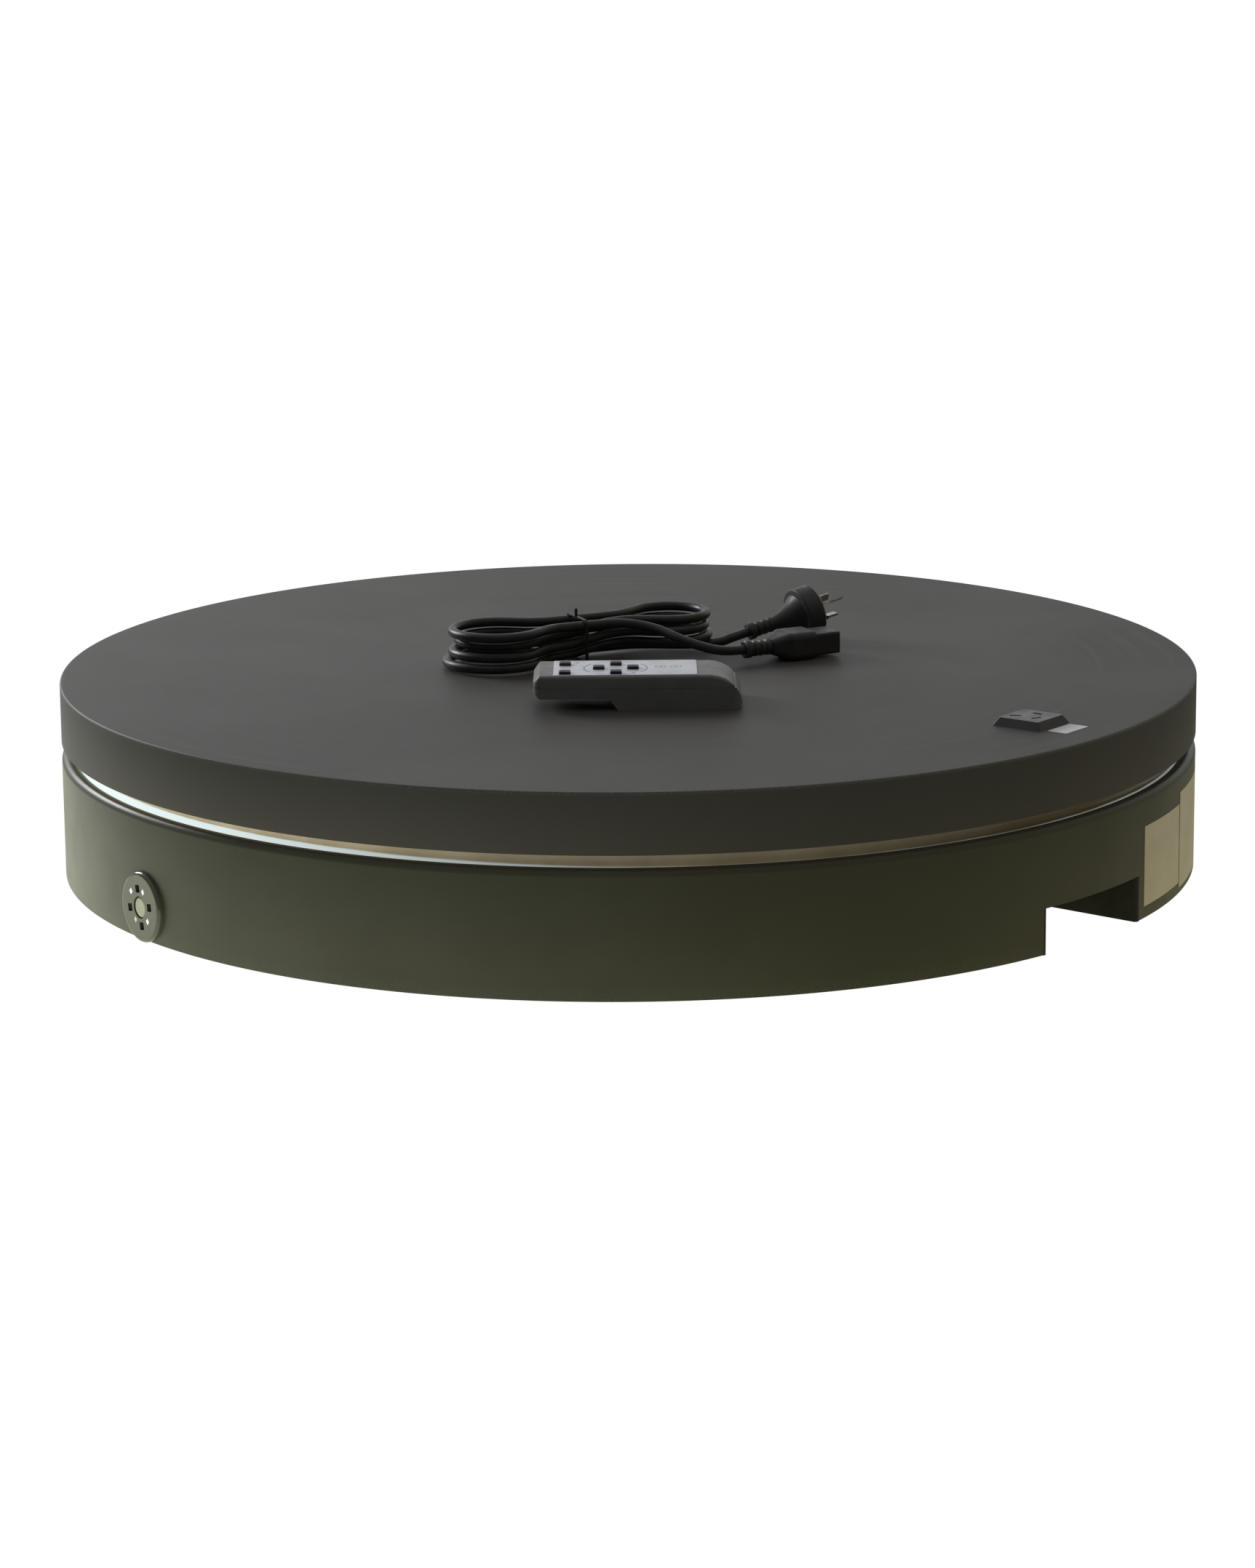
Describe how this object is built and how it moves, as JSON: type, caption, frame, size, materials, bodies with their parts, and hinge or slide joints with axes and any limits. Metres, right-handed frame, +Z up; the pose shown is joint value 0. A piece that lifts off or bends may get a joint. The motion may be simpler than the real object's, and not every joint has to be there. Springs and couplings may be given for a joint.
{
  "type": "motorised display turntable",
  "caption": "Round motor-driven display turntable with a powered outlet on the platter, a side recess for the mains lead, and its remote control and tied lead lying on top.",
  "frame": {"origin": "on the floor at the centre of the base's footprint, which is also the platter's axis", "axes": "+Z is up along the platter's axis; -Y faces the viewer of the picture, with the receiver at the front left and the lead's recess at the front right"},
  "size_m": [0.8, 0.8, 0.1782],
  "materials": {
    "base_paint": "satin olive-black paint on steel sheet",
    "platter_paint": "fine-textured grey-black paint on steel sheet",
    "ring_paint": "gloss cream paint on spun sheet",
    "steel": "galvanised sheet",
    "bearing_steel": "ground bearing steel",
    "machined": "turned aluminium",
    "screw_steel": "zinc-plated screws",
    "black_plastic": "moulded black plastic",
    "white_plastic": "natural nylon",
    "brass": "brass blades and clips",
    "pin_metal": "nickel-plated brass",
    "lens": "dark red filter lens",
    "board": "green circuit board with components",
    "paper": "plain paper label",
    "fibreboard": "raw fibreboard",
    "motor_metal": "grey painted gearbox and motor can",
    "supply_metal": "perforated supply case",
    "wire": "sheathed internal cable",
    "rubber": "black rubber pad",
    "remote_shell": "textured black plastic",
    "faceplate": "satin silver-grey printed film",
    "button": "dark moulded key",
    "battery": "round dry cell",
    "cord": "black flexible cord sheath",
    "plug": "black moulded plug"
  },
  "bodies": {
    "base": {"base_shell": "base_paint", "base_plate": "steel", "deck_plate": "steel", "recess_pocket": "black_plastic", "inlet_body": "black_plastic", "inlet_pins": "brass", "sensor_bezel": "black_plastic", "sensor_lens": "lens", "sensor_board": "board", "gap_ring": "ring_paint", "feet": "rubber", "case_screws": "screw_steel", "bearing_housing": "machined", "bearing_outer_race": "bearing_steel", "slip_ring_stator": "black_plastic", "gear_motor": "motor_metal", "roller_brackets": "steel", "roller_axles": "bearing_steel", "power_supply": "supply_metal", "control_board": "board", "wiring_harness": "wire", "base_labels": "paper"},
    "ball_cage": {"bearing_cage": "steel", "bearing_balls": "bearing_steel"},
    "platter": {"platter_cover": "platter_paint", "platter_core": "fibreboard", "roller_track": "steel", "platter_hub": "machined", "bearing_inner_race": "bearing_steel", "ring_gear": "screw_steel", "hub_bolts": "screw_steel", "slip_ring_rotor": "machined", "outlet_body": "black_plastic", "outlet_contacts": "brass", "platter_wires": "wire", "socket_label": "paper"},
    "pinion": {"drive_pinion": "bearing_steel"},
    "roller_1": {"roller_wheel_1": "white_plastic"},
    "roller_2": {"roller_wheel_2": "white_plastic"},
    "roller_3": {"roller_wheel_3": "white_plastic"},
    "roller_4": {"roller_wheel_4": "white_plastic"},
    "remote": {"remote_upper_case": "remote_shell", "remote_lower_case": "remote_shell", "remote_faceplate": "faceplate", "remote_board": "board", "remote_batteries": "battery"},
    "battery_door": {"remote_battery_door": "remote_shell"},
    "button_1": {"remote_button_1": "button"},
    "button_2": {"remote_button_2": "button"},
    "button_3": {"remote_button_3": "button"},
    "button_4": {"remote_button_4": "button"},
    "button_5": {"remote_button_5": "button"},
    "button_6": {"remote_button_6": "button"},
    "lead": {"lead_hank": "cord", "lead_plug_end": "cord", "lead_connector_end": "cord", "lead_tie": "wire", "plug_body": "plug", "plug_pins": "pin_metal", "connector_body": "plug"}
  },
  "joints": [
    {"name": "platter_spin", "type": "hinge", "parent": "base", "child": "platter", "pos_m": [0, 0, 0.089], "axis": [0, 0, 1], "continuous": true},
    {"name": "ball_cage_spin", "type": "hinge", "parent": "base", "child": "ball_cage", "pos_m": [0, 0, 0.089], "axis": [0, 0, 1], "continuous": true},
    {"name": "pinion_spin", "type": "hinge", "parent": "base", "child": "pinion", "pos_m": [0, 0.14, 0.08], "axis": [0, 0, 1], "continuous": true},
    {"name": "roller_1_spin", "type": "hinge", "parent": "base", "child": "roller_1", "pos_m": [0.21213, 0.21213, 0.099], "axis": [0.7071, 0.7071, 0], "continuous": true},
    {"name": "roller_2_spin", "type": "hinge", "parent": "base", "child": "roller_2", "pos_m": [-0.21213, 0.21213, 0.099], "axis": [-0.7071, 0.7071, 0], "continuous": true},
    {"name": "roller_3_spin", "type": "hinge", "parent": "base", "child": "roller_3", "pos_m": [-0.21213, -0.21213, 0.099], "axis": [-0.7071, -0.7071, 0], "continuous": true},
    {"name": "roller_4_spin", "type": "hinge", "parent": "base", "child": "roller_4", "pos_m": [0.21213, -0.21213, 0.099], "axis": [0.7071, -0.7071, 0], "continuous": true},
    {"name": "remote_lift", "type": "slide", "parent": "platter", "child": "remote", "axis": [0, 0, 1], "range_m": [0, 0.2]},
    {"name": "battery_door_slide", "type": "slide", "parent": "remote", "child": "battery_door", "axis": [1, 0, 0], "range_m": [0, 0.03]},
    {"name": "button_1_press", "type": "slide", "parent": "remote", "child": "button_1", "axis": [0, 0, -1], "range_m": [0, 0.0008], "stiffness_N_per_m": 500, "springref_m": -0.0006},
    {"name": "button_2_press", "type": "slide", "parent": "remote", "child": "button_2", "axis": [0, 0, -1], "range_m": [0, 0.0008], "stiffness_N_per_m": 500, "springref_m": -0.0006},
    {"name": "button_3_press", "type": "slide", "parent": "remote", "child": "button_3", "axis": [0, 0, -1], "range_m": [0, 0.0008], "stiffness_N_per_m": 500, "springref_m": -0.0006},
    {"name": "button_4_press", "type": "slide", "parent": "remote", "child": "button_4", "axis": [0, 0, -1], "range_m": [0, 0.0008], "stiffness_N_per_m": 500, "springref_m": -0.0006},
    {"name": "button_5_press", "type": "slide", "parent": "remote", "child": "button_5", "axis": [0, 0, -1], "range_m": [0, 0.0008], "stiffness_N_per_m": 500, "springref_m": -0.0006},
    {"name": "button_6_press", "type": "slide", "parent": "remote", "child": "button_6", "axis": [0, 0, -1], "range_m": [0, 0.0008], "stiffness_N_per_m": 500, "springref_m": -0.0006},
    {"name": "lead_lift", "type": "slide", "parent": "platter", "child": "lead", "axis": [0, 0, 1], "range_m": [0, 0.2]}
  ],
  "couplings": [
    {"joint": "ball_cage_spin", "follows": "platter_spin", "ratio": 0.42759},
    {"joint": "pinion_spin", "follows": "platter_spin", "ratio": -6},
    {"joint": "roller_1_spin", "follows": "platter_spin", "ratio": -20},
    {"joint": "roller_2_spin", "follows": "platter_spin", "ratio": -20},
    {"joint": "roller_3_spin", "follows": "platter_spin", "ratio": -20},
    {"joint": "roller_4_spin", "follows": "platter_spin", "ratio": -20}
  ]
}
